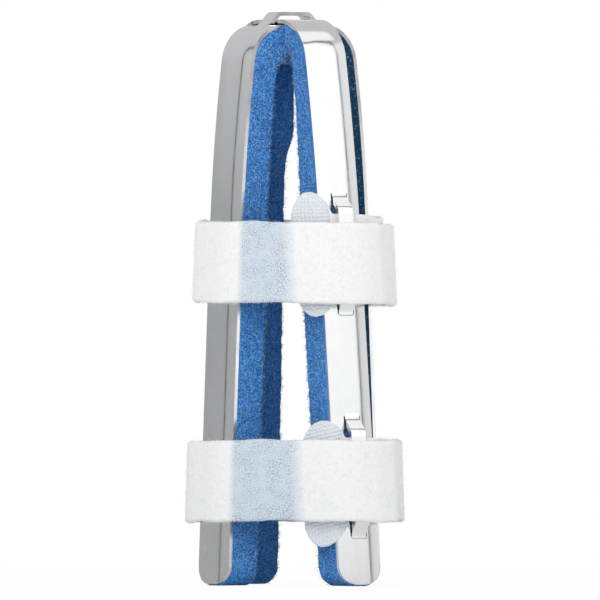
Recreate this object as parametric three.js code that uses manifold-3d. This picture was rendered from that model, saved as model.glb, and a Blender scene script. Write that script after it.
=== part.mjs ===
// A four-sided finger splint. Two aluminium strips, padded with foam on the inside, are bent into
// arches that cross over the fingertip, so the finger stands in a cage of four legs. Strip B passes
// under a bridge lanced out of strip A. Two hook-and-loop straps are threaded under bridges of the
// same kind on the front right leg and wrapped once and a half round all four legs.
// Millimetres, +Z up. The splint stands on its four feet, and strip A bends in the XZ plane.

import * as THREE from "three";
import { mergeVertices } from "three/addons/utils/BufferGeometryUtils.js";
import Module from "manifold-3d";

const wasm = await Module();
wasm.setup();

const DEGREE = Math.PI / 180;
const UPRIGHT = 90 * DEGREE;
const QUARTER = 90 * DEGREE; // turn from one leg to the next

// Fits
const CLEARANCE = 0.3; // left between pieces that touch on the real splint
const OVERREACH = 1; // how far a cutting block reaches past what it cuts

// Aluminium strips
const STRIP_WIDTH = 7.9;
const STRIP_GAUGE = 0.6;
const STRIP_CROWN = 0.35; // how far the middle of a leg stands out past its edges
const CROWN_FADE = 60; // degrees of bend over which the crown of a leg comes in below the dome
const FOOT_CORNER = 3.0; // radius of the corners of a foot, metal and foam alike
const FOOT_RISE = 0.25; // the metal feet stop this far above the foam soles
const CROSSING_WAIST = 7.2; // width of strip B where it passes under the bridge
const WAIST_START = 1.6; // strip B keeps its waist this far from the crossing
const WAIST_FADE = 3.4; // and widens again over this length

// Arches, measured on their outer faces
const DOME_HEIGHT = 87.8; // floor to the top of strip A
const DOME_WIDTH_A = 21.2; // width of strip A across its two bends
const DOME_WIDTH_B = 19.8;
const DOME_BEND_A = 6.0; // radius of the bends between the flat over the fingertip and the legs
const DOME_BEND_B = 7.0;
const SHOULDER_DROP = 27; // height over which a leg's lean eases off below the bend

// Lean of each leg out from upright, in degrees, below the bend and at the foot
const LEGS = {
  frontLeft: { shoulderAngle: 7.5, footAngle: 2.4 },
  backRight: { shoulderAngle: 8.0, footAngle: 2.5 },
  frontRight: { shoulderAngle: 10.0, footAngle: 5.5 },
  backLeft: { shoulderAngle: 8.5, footAngle: 1.7 },
};

// Foam padding
const FOAM_THICKNESS = 5.0;
const FOAM_BEND = 1.5; // tightest bend of the foam's inner face, under the fingertip
const FOAM_PRESS_A = 0.15; // share of its thickness that the foam loses where it nears the dome
const FOAM_PRESS_B = 0.35;
const PRESS_DROP = 45; // height below the dome over which the foam is pressed thinner
const SOLE_TRIM = 0.2; // cut off the rounded foam foot to give it a flat sole

// Bridges lanced out of the strips
const BRIDGE_WIDTH = 2.8;
const BRIDGE_SLIT = 0.2; // cut on each side of a bridge
const BRIDGE_ROOT = 0.8; // length of a bridge's end inside the strip
const BRIDGE_SINK = 0.05; // a bridge is drawn thinner than the strip by this on each face
const CROSSING_HEADROOM = 0.9; // outer face of strip A to the outer face of strip B
const CROSSING_RISE = 2.1; // outer face of strip A to the top of its bridge
const CROSSING_RAMP = 1.9; // length of each ramp up to the crossing bridge
const CROSSING_OVERLAP = 0.2; // share of each ramp that lies over strip B
const STRAP_RAMP = 3.0;

// Straps
const STRAP_WIDTH = 12.7;
const STRAP_THICKNESS = 1.3;
const STRAP_STANDOFF = 0.9; // how far a strap stands off the corners of the legs
const STRAP_EASE = 1.5; // how far inside a leg's corner a strap's bend is centred
const STRAP_TAIL = 8; // free end of a strap past the back right leg
const TAIL_CORNER = 3; // radius of the corners of a strap's free end
const PADDLE_HEIGHT = 19.7;
const PADDLE_LENGTH = 7.3;
const PADDLE_GAP = 0.4; // from the slit of the bridge to where the paddle starts

// Each strap: the height of its bridge as a share of DOME_HEIGHT, how much lower the strap lies after
// its wraps and the tip of its paddle than its neck as shares of STRAP_WIDTH, and the length of its
// paddle as a share of PADDLE_LENGTH
const STRAPS = [
  { name: "strap_upper", height: 0.592, descent: 0.173, paddleDroop: 0.016, paddle: 0.9 },
  { name: "strap_lower", height: 0.196, descent: 0.079, paddleDroop: 0.157, paddle: 1 },
];

// Outline of a paddle: along, the share of its length from neck to tip, and bulge, the share of
// the height by which the paddle outgrows the strap
const PADDLE_OUTLINE = [
  { along: 0, bulge: 0 },
  { along: 0.07, bulge: 0.33 },
  { along: 0.2, bulge: 0.63 },
  { along: 0.36, bulge: 0.9 },
  { along: 0.52, bulge: 1 },
  { along: 0.68, bulge: 0.96 },
  { along: 0.82, bulge: 0.75 },
  { along: 0.92, bulge: 0.44 },
  { along: 1, bulge: 0 },
];

// Fineness of the facets
const BEND_STEPS = 10;
const SHOULDER_STEPS = 6;
const CORNER_STEPS = 4;
const ACROSS_STRIP = 6;
const ACROSS_STRAP = 2;
const RAMP_STEPS = 7;
const STRAP_ARC_STEPS = 4;
const SHORTEST_RING_GAP = 0.05; // rings of a strap closer than this are one

const ALUMINIUM = { color: 0xc9cbcd, roughness: 0.22, metalness: 1 };
const FOAM = { color: 0x2f6fb8, roughness: 0.95, metalness: 0 };
const LOOP_FABRIC = { color: 0xf3f4f6, roughness: 0.9, metalness: 0 };

const mix = (from, to, share) => from + (to - from) * share;
const clamp01 = (value) => Math.min(1, Math.max(0, value));
const smooth = (share) => clamp01(share) ** 2 * (3 - 2 * clamp01(share));
const steps = (count) => Array.from({ length: count + 1 }, (_, i) => i / count);

// Closed skin through rings. A ring has a front face and a back face, each a row of points that
// runs the same way across, and the skin is capped at its first and last ring.
function skin(rings) {
  const across = rings[0].front.length;
  const around = 2 * across;
  const positions = rings.flatMap(({ front, back }) => [...front, ...[...back].reverse()]);
  const index = [];
  const quad = (a, b, c, d) => index.push(a, b, c, a, c, d);
  for (let i = 0; i + 1 < rings.length; i++)
    for (let j = 0; j < around; j++) {
      const here = i * around;
      const next = (i + 1) * around;
      const k = (j + 1) % around;
      quad(here + j, next + j, next + k, here + k);
    }
  const last = (rings.length - 1) * around;
  for (let j = 0; j + 1 < across; j++) {
    const opposite = around - 1 - j;
    quad(j, j + 1, opposite - 1, opposite);
    quad(last + opposite, last + opposite - 1, last + j + 1, last + j);
  }
  const geometry = new THREE.BufferGeometry().setFromPoints(positions);
  geometry.setIndex(index);
  return geometry;
}

// A closed geometry as a solid that can be joined and cut, and back.
function solidOf(geometry) {
  const bare = geometry.clone();
  bare.deleteAttribute("normal");
  bare.deleteAttribute("uv");
  const merged = mergeVertices(bare);
  const vertProperties = new Float32Array(merged.attributes.position.array);
  const triVerts = new Uint32Array(merged.index.array);
  return new wasm.Manifold(new wasm.Mesh({ numProp: 3, vertProperties, triVerts }));
}

function geometryOf(solid) {
  const { vertProperties, triVerts } = solid.getMesh();
  const geometry = new THREE.BufferGeometry();
  geometry.setAttribute("position", new THREE.BufferAttribute(vertProperties, 3));
  geometry.setIndex(new THREE.BufferAttribute(triVerts, 1));
  return geometry;
}

// A box between two corners, for cutting.
function block(low, high) {
  const size = new THREE.Vector3().subVectors(high, low);
  const centre = new THREE.Vector3().addVectors(low, high).multiplyScalar(0.5);
  return solidOf(new THREE.BoxGeometry(...size).translate(...centre));
}

// Half of an arch, seen from the side: top and flat place the dome, bend and shoulder are radii.
function halfArch({ top, flat, bend, lean }) {
  const drop = Math.sin(lean.shoulderAngle * DEGREE) - Math.sin(lean.footAngle * DEGREE);
  return { top, flat, bend, lean, shoulder: SHOULDER_DROP / drop };
}

// The same half arch, moved inwards by a depth. Its bend never gets tighter than FOAM_BEND.
function inset(arch, depth) {
  const bend = Math.max(arch.bend - depth, Math.min(arch.bend, FOAM_BEND));
  const flat = arch.flat + arch.bend - depth - bend;
  return { ...arch, top: arch.top - depth, flat, bend, shoulder: arch.shoulder - depth };
}

// Stations down a half arch, from the middle of the dome to the start of the straight leg. Each has
// its distance out from the axis, its height, and the tilt of its outward normal above level.
function stationsOf(arch) {
  const { top, flat, bend, shoulder, lean } = arch;
  const middleOfFlat = flat / 2;
  const list = [0, middleOfFlat].map((out) => ({ out, up: top, tilt: UPRIGHT }));
  for (const share of steps(BEND_STEPS)) {
    const tilt = mix(UPRIGHT, lean.shoulderAngle * DEGREE, share);
    list.push({ out: flat + bend * Math.cos(tilt), up: top - bend + bend * Math.sin(tilt), tilt });
  }
  const start = list[list.length - 1];
  for (const share of steps(SHOULDER_STEPS).slice(1)) {
    const tilt = mix(lean.shoulderAngle, lean.footAngle, share) * DEGREE;
    const out = start.out + shoulder * (Math.cos(tilt) - Math.cos(start.tilt));
    list.push({ out, up: start.up + shoulder * (Math.sin(tilt) - Math.sin(start.tilt)), tilt });
  }
  return list;
}

// A station on the straight leg below the shoulder, at a height.
function legStation(arch, up) {
  const stations = stationsOf(arch);
  const { out, up: knee, tilt } = stations[stations.length - 1];
  return { out: out + (knee - up) * Math.tan(tilt), up, tilt };
}

// How far out the face of a leg lies at a height.
function outAt(arch, up) {
  const stations = stationsOf(arch);
  const below = stations.findIndex((station) => station.up <= up);
  if (below < 0) return legStation(arch, up).out;
  const [high, low] = [stations[below - 1], stations[below]];
  return mix(high.out, low.out, (high.up - up) / (high.up - low.up));
}

// The four legs' outer faces.
const archA = { top: DOME_HEIGHT, flat: DOME_WIDTH_A / 2 - DOME_BEND_A, bend: DOME_BEND_A };
const archB = {
  top: DOME_HEIGHT + CROSSING_HEADROOM,
  flat: DOME_WIDTH_B / 2 - DOME_BEND_B,
  bend: DOME_BEND_B,
};
const FACES = {
  frontLeft: halfArch({ ...archA, lean: LEGS.frontLeft }),
  backRight: halfArch({ ...archA, lean: LEGS.backRight }),
  frontRight: halfArch({ ...archB, lean: LEGS.frontRight }),
  backLeft: halfArch({ ...archB, lean: LEGS.backLeft }),
};

// Heights down the rounded corners of a foot above its end, and how far its edges are inset there.
const footCorner = steps(CORNER_STEPS).map((share) => ({
  above: FOOT_CORNER * (1 - Math.sin(UPRIGHT * share)),
  trim: FOOT_CORNER * (1 - Math.cos(UPRIGHT * share)),
}));

// Stations of a strip's half, with the inset of its edges: a waist at the crossing, rounded feet.
function stripStations(arch, waist) {
  const pinch = (STRIP_WIDTH - waist) / 2;
  const narrowing = (out) => pinch * (1 - smooth((out - WAIST_START) / WAIST_FADE));
  const list = stationsOf(arch).map((station) => ({ ...station, trim: narrowing(station.out) }));
  const foot = footCorner.map(({ above, trim }) => ({ ...legStation(arch, FOOT_RISE + above), trim }));
  return [...list, ...foot];
}

// Both halves as one run, from the leg at -X over the dome to the leg at +X.
function joinHalves(left, right) {
  const mirrored = left.map((s) => ({ ...s, side: -1 })).reverse();
  return [...mirrored, ...right.slice(1).map((s) => ({ ...s, side: 1 }))];
}

// A point on a station: depth below its outer face, and across the strip.
function pointAt({ side, out, up, tilt }, depth, across) {
  const x = side * (out - depth * Math.cos(tilt));
  return new THREE.Vector3(x, across, up - depth * Math.sin(tilt));
}

// The crown of a leg, which fades out over the bend so that the dome is flat.
const crownAt = (tilt) => STRIP_CROWN * smooth((UPRIGHT - tilt) / (CROWN_FADE * DEGREE));

// A ring of a strip or of its foam between two depths.
function ringAt(station, near, far, halfWidth) {
  const crown = crownAt(station.tilt);
  const row = (depth) =>
    steps(ACROSS_STRIP).map((share) => {
      const across = mix(-halfWidth, halfWidth, share);
      return pointAt(station, depth + crown * (2 * across / STRIP_WIDTH) ** 2, across);
    });
  return { front: row(near), back: row(far) };
}

function stripBlank(left, right, waist) {
  const stations = joinHalves(stripStations(left, waist), stripStations(right, waist));
  const ring = (s) => ringAt(s, 0, STRIP_GAUGE, STRIP_WIDTH / 2 - s.trim);
  return solidOf(skin(stations.map(ring)));
}

// A bridge lanced out of a strip. run gives the strip's outer face at a distance from the middle of
// the bridge, as a point with its normal and crown, and rise is how far the bridge stands up.
function bridge({ run, rise, ramp, length }) {
  const half = length / 2;
  const shares = steps(RAMP_STEPS);
  const rampUp = shares.map((share) => mix(BRIDGE_SINK - half, ramp - half, share));
  const distances = [-half - BRIDGE_ROOT, ...rampUp, ...[...rampUp].reverse().map((d) => -d)];
  distances.push(half + BRIDGE_ROOT);
  const face = distances.map(run);
  const crest = face.map(({ point, normal }, i) => {
    const lift = rise * smooth((half - Math.abs(distances[i])) / ramp) - BRIDGE_SINK;
    return point.clone().addScaledVector(normal, lift);
  });
  const side = new THREE.Vector3(0, 1, 0);
  const depth = STRIP_GAUGE - 2 * BRIDGE_SINK;
  const rings = crest.map((point, i) => {
    const before = crest[Math.max(i - 1, 0)];
    const after = crest[Math.min(i + 1, crest.length - 1)];
    const inwards = new THREE.Vector3().subVectors(before, after).cross(side).normalize();
    const row = (below) =>
      [-1, 0, 1].map((share) => {
        const across = (share * BRIDGE_WIDTH) / 2;
        const fall = below + face[i].crown * ((2 * across) / STRIP_WIDTH) ** 2;
        return point.clone().addScaledVector(inwards, fall).addScaledVector(side, across);
      });
    return { front: row(0), back: row(depth) };
  });
  return solidOf(skin(rings));
}

// The slot that a bridge leaves in its strip, as a cutting block along the leg.
function slot({ run, length }) {
  const half = length / 2;
  const halfWidth = BRIDGE_WIDTH / 2 + BRIDGE_SLIT;
  const reach = STRIP_GAUGE + OVERREACH;
  const rings = steps(BEND_STEPS).map((share) => {
    const { point, normal } = run(mix(-half, half, share));
    const row = (offset) =>
      [-1, 1].map((s) => {
        const place = point.clone().addScaledVector(normal, offset);
        return place.setY(s * halfWidth);
      });
    return { front: row(reach), back: row(-reach) };
  });
  return solidOf(skin(rings));
}

// Point and normal on an arch's outer face, at a distance along it from its middle: negative
// distances run down the leg at -X.
function runOver(left, right) {
  return (distance) => {
    const arch = distance < 0 ? left : right;
    const side = distance < 0 ? -1 : 1;
    const reach = Math.abs(distance);
    const onFlat = Math.min(reach, arch.flat);
    const tilt = UPRIGHT - (reach - onFlat) / arch.bend;
    const out = onFlat + arch.bend * Math.cos(tilt);
    const up = arch.top - arch.bend * (1 - Math.sin(tilt));
    const normal = new THREE.Vector3(side * Math.cos(tilt), 0, Math.sin(tilt));
    return { point: new THREE.Vector3(side * out, 0, up), normal, crown: crownAt(tilt) };
  };
}

// The same down the leg at -X, at a distance above or below a height.
function runDown(arch, height) {
  return (distance) => {
    const up = height + distance;
    const slope = (outAt(arch, up - OVERREACH) - outAt(arch, up + OVERREACH)) / (2 * OVERREACH);
    const normal = new THREE.Vector3(-1, 0, slope).normalize();
    return { point: new THREE.Vector3(-outAt(arch, up), 0, up), normal, crown: STRIP_CROWN };
  };
}

const crossingBridge = {
  run: runOver(FACES.frontLeft, FACES.backRight),
  rise: CROSSING_RISE,
  ramp: CROSSING_RAMP,
  length: CROSSING_WAIST + 2 * CLEARANCE + 2 * (1 - CROSSING_OVERLAP) * CROSSING_RAMP,
};

// Strap bridges, which leave room for a strap with clearance on both faces and both edges.
const strapHeadroom = STRAP_THICKNESS + 2 * CLEARANCE;
const strapBridge = ({ height }) => ({
  run: runDown(FACES.frontRight, height * DOME_HEIGHT),
  rise: strapHeadroom + STRIP_GAUGE,
  ramp: STRAP_RAMP,
  length: STRAP_WIDTH + 2 * (CLEARANCE + STRAP_RAMP),
});

function stripWithBridges(blank, bridges) {
  const cut = bridges.reduce((solid, each) => solid.subtract(slot(each)), blank);
  return geometryOf(bridges.reduce((solid, each) => solid.add(bridge(each)), cut));
}

// How thin the foam is pressed at a station, as a share of its thickness taken off its inner face.
// It stays full under the fingertip, and comes back to full PRESS_DROP below the dome.
function pressAt({ up, tilt }, press) {
  const fromDome = smooth((UPRIGHT - tilt) / (CROWN_FADE * DEGREE));
  return press * fromDome * smooth((up - DOME_HEIGHT + PRESS_DROP) / PRESS_DROP);
}

// Foam under one half of an arch, from the middle of the dome to past the floor.
function foamStations(arch, press) {
  const outer = inset(arch, STRIP_GAUGE + CLEARANCE);
  const inner = inset(arch, STRIP_GAUGE + CLEARANCE + FOAM_THICKNESS);
  const pressed = (station, hollow) => {
    const share = pressAt(station, press);
    const out = mix(hollow.out, station.out, share);
    const up = mix(hollow.up, station.up, share);
    return { outer: station, inner: { ...hollow, out, up }, trim: 0 };
  };
  const innerTops = stationsOf(inner);
  const list = stationsOf(outer).map((station, i) => pressed(station, innerTops[i]));
  const knee = list[list.length - 1].outer.up;
  const straight = steps(SHOULDER_STEPS).slice(1, -1).map((share) => mix(knee, FOOT_CORNER, share));
  for (const up of straight) list.push(pressed(legStation(outer, up), legStation(inner, up)));
  const ends = footCorner.map(({ above, trim }) => ({ up: above - SOLE_TRIM, trim }));
  for (const { up, trim } of [...ends, { up: -OVERREACH, trim: FOOT_CORNER }])
    list.push({ outer: legStation(outer, up), inner: legStation(inner, up), trim });
  return list;
}

const REACH = 2 * DOME_HEIGHT; // past every piece
const belowFloor = block(new THREE.Vector3(-REACH, -REACH, -REACH), new THREE.Vector3(REACH, REACH, 0));

function foamSolid(stations) {
  const rings = stations.map(({ side, outer, inner, trim }) => {
    const halfWidth = STRIP_WIDTH / 2 - trim;
    const { front } = ringAt({ ...outer, side }, 0, 0, halfWidth);
    const { back } = ringAt({ ...inner, side }, 0, 0, halfWidth);
    return { front, back };
  });
  return solidOf(skin(rings)).subtract(belowFloor);
}

// One foam strip under the whole of strip A.
function foamUnderA() {
  const left = foamStations(FACES.frontLeft, FOAM_PRESS_A);
  const right = foamStations(FACES.backRight, FOAM_PRESS_A);
  return geometryOf(foamSolid(joinHalves(left, right)));
}

// The foam under a leg of strip B ends against the side of the foam under strip A.
function foamUnderB(arch, side) {
  const stations = foamStations(arch, FOAM_PRESS_B).map((s) => ({ ...s, side }));
  const whole = side < 0 ? stations.reverse() : stations;
  const stop = STRIP_WIDTH / 2 + CLEARANCE;
  const low = new THREE.Vector3(-stop, -REACH, -REACH);
  return geometryOf(foamSolid(whole).subtract(block(low, new THREE.Vector3(stop, REACH, REACH))));
}

// What a strap bears on at a height, in the order in which it goes round: corners of the legs as
// round posts, with the radius of the strap's inner face about each.
function strapPosts(up, layer) {
  const half = STRIP_WIDTH / 2;
  const lap = layer * (STRAP_THICKNESS + CLEARANCE);
  const ease = STRAP_EASE * Math.SQRT2;
  const corners = (arch, turn) => {
    const out = outAt(arch, up) - STRAP_EASE;
    return [-1, 1].map((s) => {
      const place = new THREE.Vector2(s * (half - STRAP_EASE), -out);
      place.rotateAround(new THREE.Vector2(), turn);
      return { x: place.x, y: place.y, radius: ease + STRAP_STANDOFF + lap };
    });
  };
  const front = (reach, radius, stand) =>
    [-1, 1].map((s) => ({ x: s * reach, y: -outAt(FACES.frontRight, up) - stand, radius }));
  return {
    rails: front(half, CLEARANCE + lap, 0),
    bridge: front(BRIDGE_WIDTH / 2, CLEARANCE, strapHeadroom + STRIP_GAUGE),
    backRight: corners(FACES.backRight, QUARTER),
    backLeft: corners(FACES.backLeft, 2 * QUARTER),
    frontLeft: corners(FACES.frontLeft, 3 * QUARTER),
  };
}

// The straight run between two posts, tangent to both, as its two ends with their shared normal.
function tangent(from, to) {
  const along = new THREE.Vector2(to.x - from.x, to.y - from.y);
  const turn = Math.asin((from.radius - to.radius) / along.length());
  const normal = new THREE.Vector2(along.y, -along.x).normalize();
  normal.rotateAround(new THREE.Vector2(), turn);
  const touch = (post) => new THREE.Vector2(post.x, post.y).addScaledVector(normal, post.radius);
  return { start: touch(from), end: touch(to), normal };
}

// A taut run round posts: bends about each post, straight between them.
function tautRun(posts) {
  const spans = posts.slice(1).map((post, i) => tangent(posts[i], post));
  const run = [{ point: spans[0].start, normal: spans[0].normal }];
  spans.forEach((span, i) => {
    run.push({ point: span.end, normal: span.normal });
    if (i + 1 === spans.length) return;
    const post = posts[i + 1];
    const from = span.normal.angle();
    const turn = THREE.MathUtils.euclideanModulo(spans[i + 1].normal.angle() - from, 2 * Math.PI);
    for (const share of steps(STRAP_ARC_STEPS).slice(1)) {
      const angle = from + turn * share;
      const normal = new THREE.Vector2(Math.cos(angle), Math.sin(angle));
      const point = new THREE.Vector2(post.x, post.y).addScaledVector(normal, post.radius);
      run.push({ point, normal });
    }
  });
  return run;
}

// The inner face of a strap at a height, from end to end: from the paddle under the bridge, round
// by the right to the back and the left, over the paddle and the bridge, and on past the right.
function strapRun(up, paddle) {
  const inner = strapPosts(up, 0);
  const outer = strapPosts(up, 1);
  const { start, end } = tangent(inner.frontLeft[1], inner.rails[0]);
  const pastRail = paddle + BRIDGE_WIDTH / 2 + PADDLE_GAP - STRIP_WIDTH / 2;
  const tip = end.clone().addScaledVector(start.sub(end).normalize(), pastRail);
  const run = tautRun([
    { x: tip.x, y: tip.y, radius: 0 },
    ...inner.rails,
    ...inner.backRight,
    ...inner.backLeft,
    ...inner.frontLeft,
    { x: tip.x, y: tip.y, radius: STRAP_THICKNESS + CLEARANCE },
    outer.rails[0],
    ...inner.bridge,
    outer.rails[1],
    ...outer.backRight,
    outer.backLeft[0],
  ]);
  const [bend, last] = run.slice(-2);
  last.point.sub(bend.point).setLength(STRAP_TAIL).add(bend.point);
  return run;
}

// Half the height of a strap at a distance from its paddle's tip, out of its whole length.
function strapHalf(distance, whole, paddle) {
  const share = 1 - distance / paddle;
  const next = PADDLE_OUTLINE.findIndex(({ along }) => along >= share);
  const fromEnd = whole - distance;
  if (fromEnd < TAIL_CORNER) {
    const inwards = TAIL_CORNER - fromEnd;
    return STRAP_WIDTH / 2 - TAIL_CORNER + Math.sqrt(TAIL_CORNER ** 2 - inwards ** 2);
  }
  if (next < 1) return STRAP_WIDTH / 2;
  const [near, far] = [PADDLE_OUTLINE[next - 1], PADDLE_OUTLINE[next]];
  const bulge = mix(near.bulge, far.bulge, (share - near.along) / (far.along - near.along));
  return mix(STRAP_WIDTH, PADDLE_HEIGHT, bulge) / 2;
}

// Where the rings of a strap lie: at each bend of its run, at each row of its paddle's outline and
// round the corners of its free end. Each is a place between two points of the run.
function strapStations(run, paddle) {
  const ends = [0];
  for (let i = 1; i < run.length; i++)
    ends.push(ends[i - 1] + run[i].point.distanceTo(run[i - 1].point));
  const whole = ends[ends.length - 1];
  const rows = PADDLE_OUTLINE.map(({ along }) => paddle * (1 - along));
  const cornerAt = (share) => TAIL_CORNER * (1 - Math.sin(share * UPRIGHT));
  const tail = steps(CORNER_STEPS).map((share) => whole - cornerAt(share));
  const sorted = [...ends, ...rows, ...tail].sort((a, b) => a - b);
  const distinct = sorted.filter((d, i) => i === 0 || d - sorted[i - 1] > SHORTEST_RING_GAP);
  return distinct.map((distance) => {
    const next = Math.max(1, ends.findIndex((end) => end >= distance));
    const share = (distance - ends[next - 1]) / (ends[next] - ends[next - 1]);
    return { distance, whole, next, share: clamp01(share) };
  });
}

function strap(row) {
  const paddle = row.paddle * PADDLE_LENGTH;
  const bridgeUp = row.height * DOME_HEIGHT;
  const stations = strapStations(strapRun(bridgeUp, paddle), paddle);
  const rings = stations.map(({ distance, whole, next, share }) => {
    const half = strapHalf(distance, whole, paddle);
    const droop = row.paddleDroop * clamp01(1 - distance / paddle);
    const middle = bridgeUp - STRAP_WIDTH * ((row.descent * distance) / whole + droop);
    const rows = steps(ACROSS_STRAP).map((across) => {
      const up = middle + mix(-half, half, across);
      const [from, to] = strapRun(up, paddle).slice(next - 1, next + 1);
      const normal = from.normal.clone().lerp(to.normal, share).normalize();
      const inner = from.point.clone().lerp(to.point, share);
      const outer = inner.clone().addScaledVector(normal, STRAP_THICKNESS);
      return [inner, outer].map(({ x, y }) => new THREE.Vector3(x, y, up));
    });
    return { front: rows.map((row) => row[1]), back: rows.map((row) => row[0]) };
  });
  return skin(rings);
}

const splint = new THREE.Group();

function add(name, geometry, finish, turn = 0) {
  const mesh = new THREE.Mesh(geometry, new THREE.MeshStandardMaterial(finish));
  geometry.computeVertexNormals();
  mesh.name = name;
  mesh.rotation.z = turn;
  splint.add(mesh);
}

add(
  "strip_a",
  stripWithBridges(stripBlank(FACES.frontLeft, FACES.backRight, STRIP_WIDTH), [crossingBridge]),
  ALUMINIUM,
);
add(
  "strip_b",
  stripWithBridges(
    stripBlank(FACES.frontRight, FACES.backLeft, CROSSING_WAIST),
    STRAPS.map(strapBridge),
  ),
  ALUMINIUM,
  QUARTER,
);
add("foam_a", foamUnderA(), FOAM);
add("foam_b_front", foamUnderB(FACES.frontRight, -1), FOAM, QUARTER);
add("foam_b_back", foamUnderB(FACES.backLeft, 1), FOAM, QUARTER);
for (const row of STRAPS) add(row.name, strap(row), LOOP_FABRIC);

// The origin is on the floor, under the middle of the splint's outline.
const outline = new THREE.Box3().setFromObject(splint, true);
const middle = outline.getCenter(new THREE.Vector3());
splint.position.set(-middle.x, -middle.y, -outline.min.z);

export default new THREE.Group().add(splint);
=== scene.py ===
"""Looks of a four-sided finger splint: bright aluminium strips, blue open-cell foam, white fleecy straps.

Shapes are worked out in millimetres in the splint's own frame, whose axis runs up through the crossing
of the strips, and are scaled to metres and set on the frame's axis when their meshes are made.
"""

import math
import random

import bpy
import numpy as np
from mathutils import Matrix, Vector, noise


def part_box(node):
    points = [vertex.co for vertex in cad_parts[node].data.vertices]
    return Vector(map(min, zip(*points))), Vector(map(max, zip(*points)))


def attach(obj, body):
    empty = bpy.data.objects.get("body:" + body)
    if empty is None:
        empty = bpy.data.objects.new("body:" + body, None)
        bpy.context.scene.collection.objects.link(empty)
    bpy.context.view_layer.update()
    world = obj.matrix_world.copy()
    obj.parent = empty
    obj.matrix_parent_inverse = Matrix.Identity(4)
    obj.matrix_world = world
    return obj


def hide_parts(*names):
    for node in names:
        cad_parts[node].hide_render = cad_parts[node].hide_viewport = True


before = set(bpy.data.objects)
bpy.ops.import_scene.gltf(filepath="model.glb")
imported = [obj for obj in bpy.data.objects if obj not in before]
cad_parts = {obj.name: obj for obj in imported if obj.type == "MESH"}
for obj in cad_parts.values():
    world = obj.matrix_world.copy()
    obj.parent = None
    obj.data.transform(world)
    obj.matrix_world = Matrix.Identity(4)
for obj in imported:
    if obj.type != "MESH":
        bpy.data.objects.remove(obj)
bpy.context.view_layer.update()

MM = 0.001
UV_UNIT = 10  # millimetres to a unit of the maps that run along the strips and straps
CLEARANCE = 0.3  # between a bridge and what passes under it, and between layers of a strap

# Aluminium strips
STRIP_WIDTH = 7.9
STRIP_GAUGE = 0.6
FLANGE_WIDTH = 1.95  # the edges of a leg slope back past a soft crease this far in
FLANGE_DROP = 0.31
CREASE_SOFTNESS = 0.34
CREASE_FADE = 60  # degrees of bend below the dome over which the creases come in
SHARP_EDGE = 40  # degrees past which an edge of the metal is seen as an edge
FOOT_CORNER = 3.0
FOOT_RISE = 0.25
CROSSING_WAIST = 7.2
WAIST_START = 1.6
WAIST_FADE = 3.4

# Arches, on their outer faces
DOME_HEIGHT = 87.8
CROSSING_HEADROOM = 0.9
SHOULDER_DROP = 27
DOME_A = {"top": DOME_HEIGHT, "flat": 4.6, "bend": 6.0}
DOME_B = {"top": DOME_HEIGHT + CROSSING_HEADROOM, "flat": 2.9, "bend": 7.0}
# Each leg: its dome, the side of the axis it is on, and how many degrees its shoulder and foot lean
LEGS = {
    "front_left": {"dome": DOME_A, "side": -1, "shoulder": 7.5, "foot": 2.4},
    "back_right": {"dome": DOME_A, "side": 1, "shoulder": 8.0, "foot": 2.5},
    "front_right": {"dome": DOME_B, "side": -1, "shoulder": 10.0, "foot": 5.5},
    "back_left": {"dome": DOME_B, "side": 1, "shoulder": 8.5, "foot": 1.7},
}

# Bridges lanced out of the strips
BRIDGE_WIDTH = 2.8
BRIDGE_SLIT = 0.2
SLIT_START = BRIDGE_WIDTH / 2
SLIT_END = SLIT_START + BRIDGE_SLIT
CROSSING_RISE = 2.1
CROSSING_RAMP = 2.7
CROSSING_REACH = 1.52  # length of a bridge's end past strip B and its clearance
CROSSING_LENGTH = CROSSING_WAIST + 2 * (CLEARANCE + CROSSING_REACH)
STRAP_BRIDGE_RISE = 1.5
STRAP_BRIDGE_RAMP = 2.8

# Foam padding
FOAM_THICKNESS = 5.2
FOAM_GAP = 0.05  # glue line between metal and foam
FOAM_BEND = 1.5
# Each run of foam: share of its thickness lost near the dome, and how far it bunches up under the dome
FOAM_RUNS = {
    "foam_a": {"press": 0.1, "bunch": 0.0},
    "foam_b_front": {"press": 0.35, "bunch": 0.0},
    "foam_b_back": {"press": 0.1, "bunch": 3.6},
}
PRESS_DROP = 45  # height below the dome over which the foam is pressed thinner
BUNCH_START = 23  # a bunch starts and is full this far below the dome
BUNCH_FULL = 12
BUNCH_LIMIT = 1.0  # bunched foam stops this far from the axis
FOAM_EDGE = 0.35  # rounding of the foam's long inner edges
FOAM_LUMPS = [{"height": 0.13, "size": 1.1}, {"height": 0.10, "size": 0.45}]
FOAM_SHRINK = 0.05  # drawn in by this, so that its lumps stay in their space
FOAM_SEAT = 0.6  # the lumps fade out this near to the metal and the floor
SOLE_HEIGHT = 0.02
SOLE_ANGLE = 85  # degrees round the corner of the foot at which the flat sole starts
BUTT_GAP = 0.1  # between the foam of strip A and the ends of strip B's foam
TORN_CELLS = {"length": 0.46, "radius": 0.032, "curl": 0.9}
FOAM_PADS = [
    {"node": "foam_a", "legs": ["front_left", "back_right"], "turns": 0, "seed": 3, "cells": 15000},
    {"node": "foam_b_front", "legs": ["front_right"], "turns": 1, "seed": 5, "cells": 7500},
    {"node": "foam_b_back", "legs": ["back_left"], "turns": 1, "seed": 7, "cells": 7500},
]

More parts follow.
